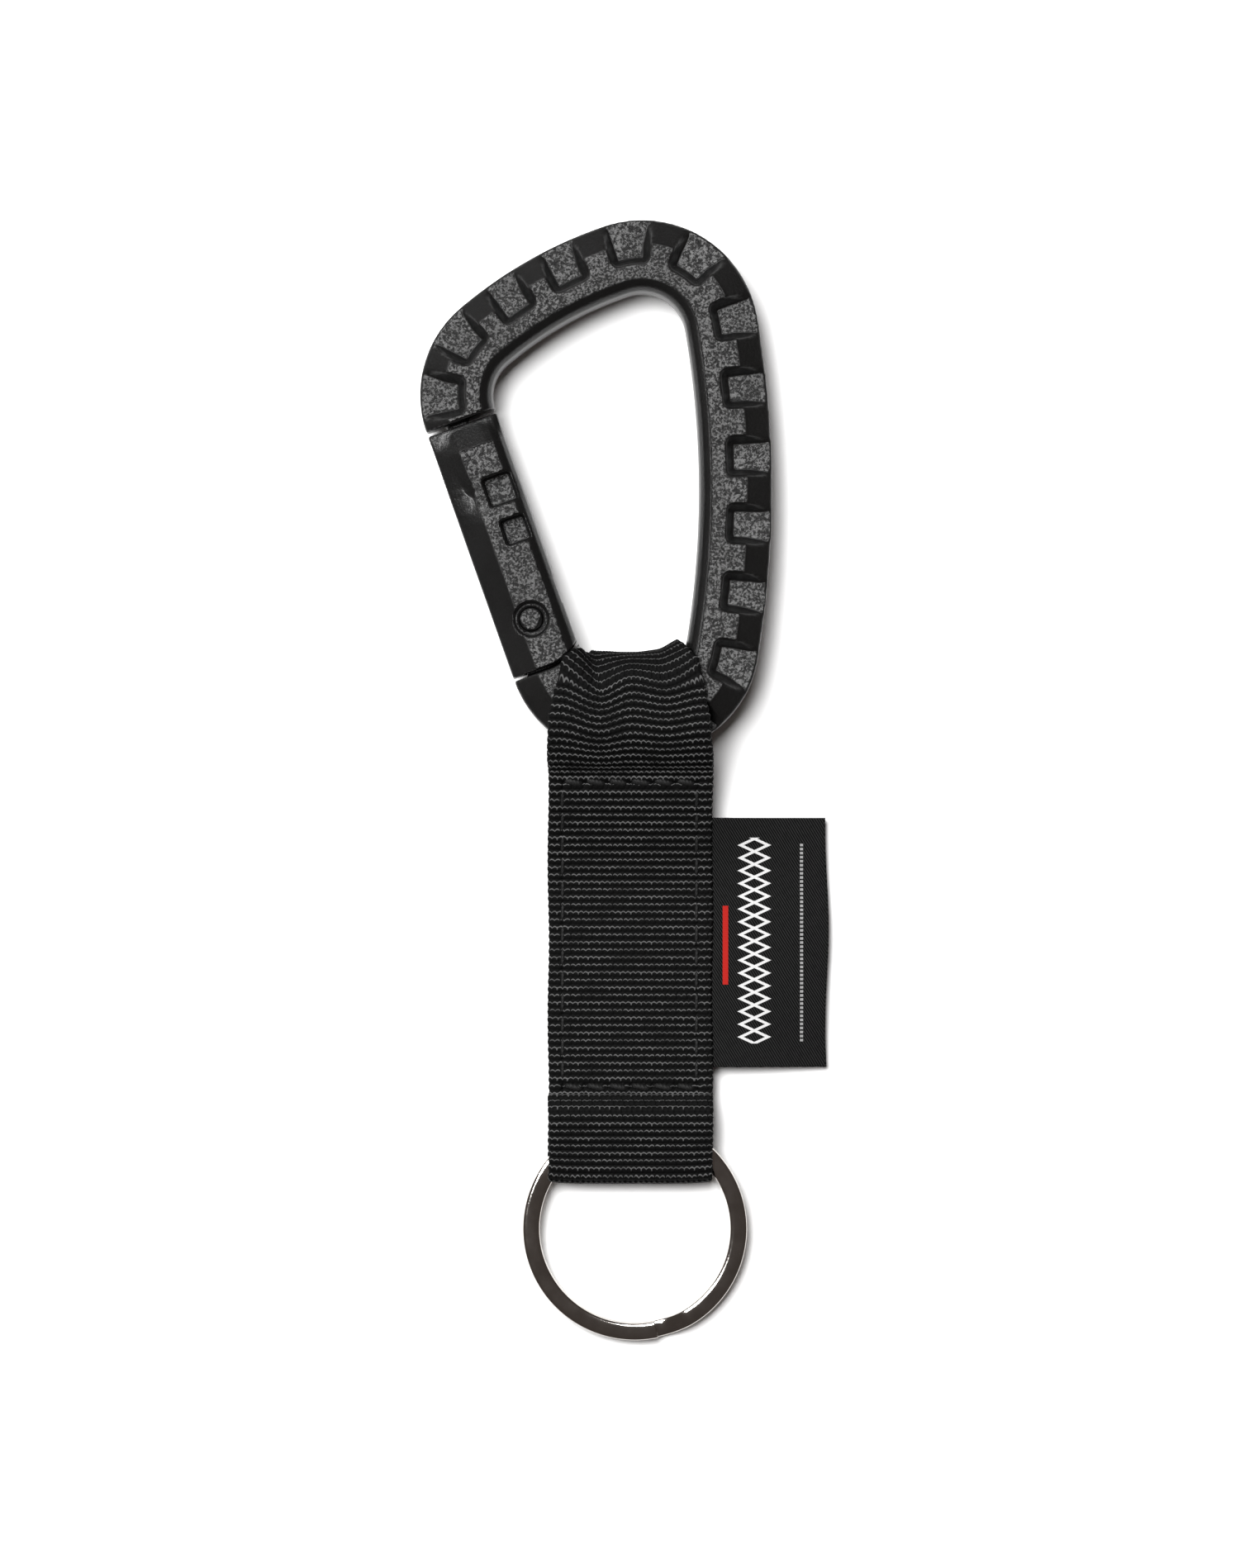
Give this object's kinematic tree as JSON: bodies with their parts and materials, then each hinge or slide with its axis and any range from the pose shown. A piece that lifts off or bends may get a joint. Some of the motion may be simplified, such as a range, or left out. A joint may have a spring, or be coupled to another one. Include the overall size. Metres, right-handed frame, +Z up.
{
  "type": "carabiner keyring",
  "caption": "Moulded snap carabiner with a sprung gate, a sewn webbing strap with a woven side label, and a flat split ring for keys.",
  "frame": {"origin": "centre of the object's outline on the plane that it lies on", "axes": "+Y from the split ring to the carabiner's top, +X to the label's side, +Z up out of the front face"},
  "size_m": [0.0619, 0.1705, 0.0125],
  "materials": {
    "black_plastic": "coarse spark-eroded texture",
    "plunger_plastic": "smooth moulded",
    "webbing": "ribbed nylon webbing",
    "sewing_thread": "bonded polyester thread",
    "label_weave": "woven satin label",
    "spring_steel": "bright drawn wire",
    "nickel": "polished nickel plate"
  },
  "bodies": {
    "carabiner": {"carabiner_frame": "black_plastic"},
    "gate": {"gate": "black_plastic", "gate_spring": "spring_steel"},
    "plunger": {"spring_plunger": "plunger_plastic"},
    "strap": {"strap_top_loop": "webbing", "strap_front_panel": "webbing", "strap_tail_layer": "webbing", "strap_back_panel": "webbing", "label_tab": "label_weave", "thread_top_front": "sewing_thread", "thread_bottom_front": "sewing_thread", "thread_left_front": "sewing_thread", "thread_right_front": "sewing_thread", "thread_top_back": "sewing_thread", "thread_bottom_back": "sewing_thread", "thread_left_back": "sewing_thread", "thread_right_back": "sewing_thread"},
    "ring_loop": {"strap_ring_loop": "webbing"},
    "ring": {"split_ring": "nickel"},
    "label": {"label": "label_weave"}
  },
  "joints": [
    {"name": "gate_hinge", "type": "hinge", "parent": "carabiner", "child": "gate", "pos_m": [-0.0139, 0.02444, 0.00588], "axis": [0, -0.0186, -0.9998], "range_deg": [0, 28], "stiffness_Nm_per_rad": 0.05, "springref_deg": -5.73, "deforming": ["gate_spring"]},
    {"name": "plunger_slide", "type": "slide", "parent": "gate", "child": "plunger", "axis": [-0.3338, 0.9425, -0.0175], "range_m": [0, 0.0015]},
    {"name": "strap_swing", "type": "hinge", "parent": "carabiner", "child": "strap", "pos_m": [0.0011, 0.00935, 0.00616], "axis": [1, 0, 0], "range_deg": [-90, 90], "deforming": ["strap_top_loop"]},
    {"name": "loop_flex", "type": "hinge", "parent": "strap", "child": "ring_loop", "pos_m": [0.0011, -0.0479, 0.0018], "axis": [1, 0, 0], "range_deg": [-80, 80], "deforming": ["strap_ring_loop"]},
    {"name": "ring_spin", "type": "hinge", "parent": "ring_loop", "child": "ring", "pos_m": [0.0018, -0.06812, 0.00089], "axis": [0, -0.0523, 0.9986], "continuous": true},
    {"name": "label_flap", "type": "hinge", "parent": "strap", "child": "label", "pos_m": [0.014, -0.0246, 0.00275], "axis": [0, 1, 0], "range_deg": [-60, 60], "stiffness_Nm_per_rad": 0.002}
  ],
  "couplings": [
    {"joint": "plunger_slide", "follows": "gate_hinge", "m_per_rad": 0.0028}
  ]
}
